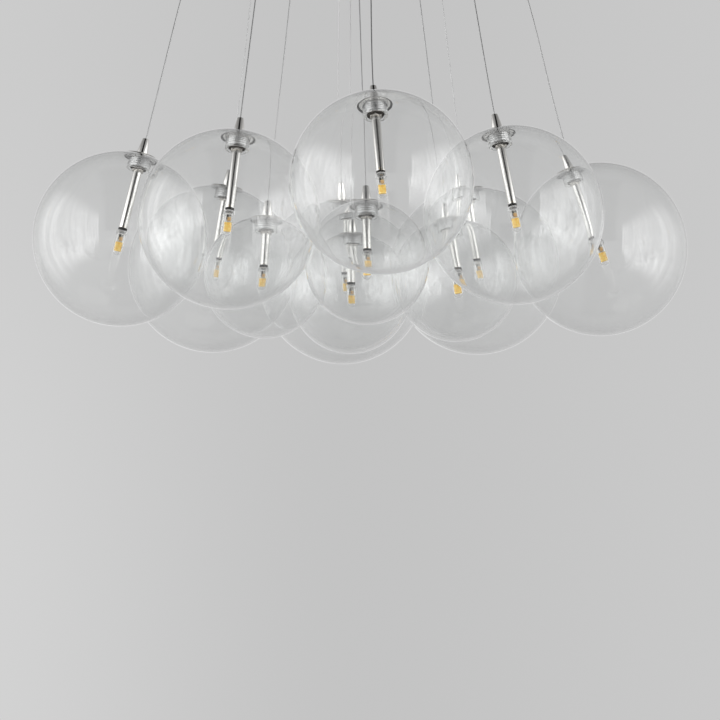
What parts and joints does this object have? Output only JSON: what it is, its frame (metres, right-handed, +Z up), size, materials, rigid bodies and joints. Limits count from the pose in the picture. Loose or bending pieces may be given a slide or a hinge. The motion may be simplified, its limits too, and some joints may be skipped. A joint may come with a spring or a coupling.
{
  "type": "cluster pendant",
  "caption": "Cluster pendant of clear glass globes crowded together on thin cables under one round ceiling canopy, each with a chrome fitting and a plug-in lamp.",
  "frame": {"origin": "middle of the ceiling plate's top face, on the ceiling, at the canopy's axis", "axes": "+Z up into the ceiling, -Y towards the viewer of the picture, +X to its right"},
  "size_m": [0.7493, 0.7902, 0.701],
  "materials": {
    "globe_glass": "clear polished",
    "lamp_clear": "clear, with an amber chip inside",
    "fitting_chrome": "polished",
    "canopy_chrome": "polished",
    "cable_jacket": "smooth",
    "plate_steel": "zinc plated",
    "nut_steel": "zinc plated",
    "rubber": "matte",
    "driver_case": "matte",
    "terminal_plastic": "matte",
    "brass": "machined"
  },
  "bodies": {
    "canopy": {"ceiling_plate": "plate_steel", "canopy_cover": "canopy_chrome", "cover_screws": "canopy_chrome", "cable_grips": "fitting_chrome", "grip_nuts": "nut_steel", "inlet_grommet": "rubber", "led_driver": "driver_case", "driver_screws": "nut_steel", "mains_terminal": "terminal_plastic", "low_voltage_base": "terminal_plastic", "low_voltage_bars": "brass", "earth_stud": "brass"},
    "drop_01": {"stem_01": "fitting_chrome", "cable_01": "cable_jacket"},
    "globe_01": {"globe_01": "globe_glass"},
    "lamp_01": {"lamp_01": "lamp_clear"},
    "drop_02": {"stem_02": "fitting_chrome", "cable_02": "cable_jacket"},
    "globe_02": {"globe_02": "globe_glass"},
    "lamp_02": {"lamp_02": "lamp_clear"},
    "drop_03": {"stem_03": "fitting_chrome", "cable_03": "cable_jacket"},
    "globe_03": {"globe_03": "globe_glass"},
    "lamp_03": {"lamp_03": "lamp_clear"},
    "drop_04": {"stem_04": "fitting_chrome", "cable_04": "cable_jacket"},
    "globe_04": {"globe_04": "globe_glass"},
    "lamp_04": {"lamp_04": "lamp_clear"},
    "drop_05": {"stem_05": "fitting_chrome", "cable_05": "cable_jacket"},
    "globe_05": {"globe_05": "globe_glass"},
    "lamp_05": {"lamp_05": "lamp_clear"},
    "drop_06": {"stem_06": "fitting_chrome", "cable_06": "cable_jacket"},
    "globe_06": {"globe_06": "globe_glass"},
    "lamp_06": {"lamp_06": "lamp_clear"},
    "drop_07": {"stem_07": "fitting_chrome", "cable_07": "cable_jacket"},
    "globe_07": {"globe_07": "globe_glass"},
    "lamp_07": {"lamp_07": "lamp_clear"},
    "drop_08": {"stem_08": "fitting_chrome", "cable_08": "cable_jacket"},
    "globe_08": {"globe_08": "globe_glass"},
    "lamp_08": {"lamp_08": "lamp_clear"},
    "drop_09": {"stem_09": "fitting_chrome", "cable_09": "cable_jacket"},
    "globe_09": {"globe_09": "globe_glass"},
    "lamp_09": {"lamp_09": "lamp_clear"},
    "drop_10": {"stem_10": "fitting_chrome", "cable_10": "cable_jacket"},
    "globe_10": {"globe_10": "globe_glass"},
    "lamp_10": {"lamp_10": "lamp_clear"},
    "drop_11": {"stem_11": "fitting_chrome", "cable_11": "cable_jacket"},
    "globe_11": {"globe_11": "globe_glass"},
    "lamp_11": {"lamp_11": "lamp_clear"},
    "drop_12": {"stem_12": "fitting_chrome", "cable_12": "cable_jacket"},
    "globe_12": {"globe_12": "globe_glass"},
    "lamp_12": {"lamp_12": "lamp_clear"}
  },
  "joints": [
    {"name": "drop_01_swing", "type": "hinge", "parent": "canopy", "child": "drop_01", "pos_m": [-0.12951, -0.01133, -0.0485], "axis": [-0.1045, 0.9945, 0], "range_deg": [0, 25]},
    {"name": "globe_01_unscrew", "type": "hinge", "parent": "drop_01", "child": "globe_01", "pos_m": [-0.26286, -0.02868, -0.588], "axis": [-0.2316, -0.0313, -0.9723], "range_deg": [0, 1800]},
    {"name": "lamp_01_pull", "type": "slide", "parent": "drop_01", "child": "lamp_01", "axis": [-0.2316, -0.0313, -0.9723], "range_m": [0, 0.008]},
    {"name": "drop_02_swing", "type": "hinge", "parent": "canopy", "child": "drop_02", "pos_m": [-0.08356, -0.09959, -0.0485], "axis": [-0.788, 0.6157, 0], "range_deg": [0, 25]},
    {"name": "globe_02_unscrew", "type": "hinge", "parent": "drop_02", "child": "globe_02", "pos_m": [-0.13478, -0.18532, -0.601], "axis": [-0.0999, -0.1526, -0.9832], "range_deg": [0, 1800]},
    {"name": "lamp_02_pull", "type": "slide", "parent": "drop_02", "child": "lamp_02", "axis": [-0.0999, -0.1526, -0.9832], "range_m": [0, 0.008]},
    {"name": "drop_03_swing", "type": "hinge", "parent": "canopy", "child": "drop_03", "pos_m": [0.01133, -0.12951, -0.0485], "axis": [-0.9969, -0.0785, 0], "range_deg": [0, 25]},
    {"name": "globe_03_unscrew", "type": "hinge", "parent": "drop_03", "child": "globe_03", "pos_m": [0.03318, -0.29456, -0.585], "axis": [0.0737, -0.2932, -0.9532], "range_deg": [0, 1800]},
    {"name": "lamp_03_pull", "type": "slide", "parent": "drop_03", "child": "lamp_03", "axis": [0.0737, -0.2932, -0.9532], "range_m": [0, 0.008]},
    {"name": "drop_04_swing", "type": "hinge", "parent": "canopy", "child": "drop_04", "pos_m": [0.09959, -0.08356, -0.0485], "axis": [-0.6561, -0.7547, 0], "range_deg": [0, 25]},
    {"name": "globe_04_unscrew", "type": "hinge", "parent": "drop_04", "child": "globe_04", "pos_m": [0.18142, -0.14901, -0.588], "axis": [0.1743, -0.1186, -0.9775], "range_deg": [0, 1800]},
    {"name": "lamp_04_pull", "type": "slide", "parent": "drop_04", "child": "lamp_04", "axis": [0.1743, -0.1186, -0.9775], "range_m": [0, 0.008]},
    {"name": "drop_05_swing", "type": "hinge", "parent": "canopy", "child": "drop_05", "pos_m": [0.12951, 0.01133, -0.0485], "axis": [0.0785, -0.9969, 0], "range_deg": [0, 25]},
    {"name": "globe_05_unscrew", "type": "hinge", "parent": "drop_05", "child": "globe_05", "pos_m": [0.28652, 0.02176, -0.589], "axis": [0.3106, 0.0183, -0.9503], "range_deg": [0, 1800]},
    {"name": "lamp_05_pull", "type": "slide", "parent": "drop_05", "child": "lamp_05", "axis": [0.3106, 0.0183, -0.9503], "range_m": [0, 0.008]},
    {"name": "drop_06_swing", "type": "hinge", "parent": "canopy", "child": "drop_06", "pos_m": [-0.09959, 0.08356, -0.0485], "axis": [0.6691, 0.7431, 0], "range_deg": [0, 25]},
    {"name": "globe_06_unscrew", "type": "hinge", "parent": "drop_06", "child": "globe_06", "pos_m": [-0.16402, 0.15669, -0.582], "axis": [-0.1699, 0.1338, -0.9763], "range_deg": [0, 1800]},
    {"name": "lamp_06_pull", "type": "slide", "parent": "drop_06", "child": "lamp_06", "axis": [-0.1699, 0.1338, -0.9763], "range_m": [0, 0.008]},
    {"name": "drop_07_swing", "type": "hinge", "parent": "canopy", "child": "drop_07", "pos_m": [-0.04795, -0.00209, -0.0485], "axis": [-0.9848, -0.1736, 0], "range_deg": [0, 1.4]},
    {"name": "globe_07_unscrew", "type": "hinge", "parent": "drop_07", "child": "globe_07", "pos_m": [-0.09948, 0.00382, -0.626], "axis": [-0.0541, 0.0102, -0.9985], "range_deg": [0, 1800]},
    {"name": "lamp_07_pull", "type": "slide", "parent": "drop_07", "child": "lamp_07", "axis": [-0.0541, 0.0102, -0.9985], "range_m": [0, 0.008]},
    {"name": "drop_08_swing", "type": "hinge", "parent": "canopy", "child": "drop_08", "pos_m": [-0.00209, 0.04795, -0.0485], "axis": [0.866, 0.5, 0], "range_deg": [0, 0.5]},
    {"name": "globe_08_unscrew", "type": "hinge", "parent": "drop_08", "child": "globe_08", "pos_m": [-0.00113, 0.10595, -0.624], "axis": [0.0104, 0.1003, -0.9949], "range_deg": [0, 1800]},
    {"name": "lamp_08_pull", "type": "slide", "parent": "drop_08", "child": "lamp_08", "axis": [0.0104, 0.1003, -0.9949], "range_m": [0, 0.008]},
    {"name": "drop_09_swing", "type": "hinge", "parent": "canopy", "child": "drop_09", "pos_m": [0.00209, -0.04795, -0.0485], "axis": [-0.9962, -0.0872, 0], "range_deg": [0, 1.4]},
    {"name": "globe_09_unscrew", "type": "hinge", "parent": "drop_09", "child": "globe_09", "pos_m": [0.01773, -0.09819, -0.631], "axis": [0.018, -0.0859, -0.9961], "range_deg": [0, 1800]},
    {"name": "lamp_09_pull", "type": "slide", "parent": "drop_09", "child": "lamp_09", "axis": [0.018, -0.0859, -0.9961], "range_m": [0, 0.008]},
    {"name": "drop_10_swing", "type": "hinge", "parent": "canopy", "child": "drop_10", "pos_m": [-0.01133, 0.12951, -0.0485], "axis": [0.9976, 0.0698, 0], "range_deg": [0, 25]},
    {"name": "globe_10_unscrew", "type": "hinge", "parent": "drop_10", "child": "globe_10", "pos_m": [-0.01068, 0.29575, -0.569], "axis": [0.0448, 0.304, -0.9516], "range_deg": [0, 1800]},
    {"name": "lamp_10_pull", "type": "slide", "parent": "drop_10", "child": "lamp_10", "axis": [0.0448, 0.304, -0.9516], "range_m": [0, 0.008]},
    {"name": "drop_11_swing", "type": "hinge", "parent": "canopy", "child": "drop_11", "pos_m": [0.04795, 0.00209, -0.0485], "axis": [0.5, 0.866, 0], "range_deg": [0, 1.3]},
    {"name": "globe_11_unscrew", "type": "hinge", "parent": "drop_11", "child": "globe_11", "pos_m": [0.12044, 0.00482, -0.63], "axis": [0.1408, 0.0046, -0.99], "range_deg": [0, 1800]},
    {"name": "lamp_11_pull", "type": "slide", "parent": "drop_11", "child": "lamp_11", "axis": [0.1408, 0.0046, -0.99], "range_m": [0, 0.008]},
    {"name": "drop_12_swing", "type": "hinge", "parent": "canopy", "child": "drop_12", "pos_m": [0.08356, 0.09959, -0.0485], "axis": [0.7826, -0.6225, 0], "range_deg": [0, 25]},
    {"name": "globe_12_unscrew", "type": "hinge", "parent": "drop_12", "child": "globe_12", "pos_m": [0.14889, 0.17461, -0.581], "axis": [0.1377, 0.1382, -0.9808], "range_deg": [0, 1800]},
    {"name": "lamp_12_pull", "type": "slide", "parent": "drop_12", "child": "lamp_12", "axis": [0.1377, 0.1382, -0.9808], "range_m": [0, 0.008]}
  ]
}
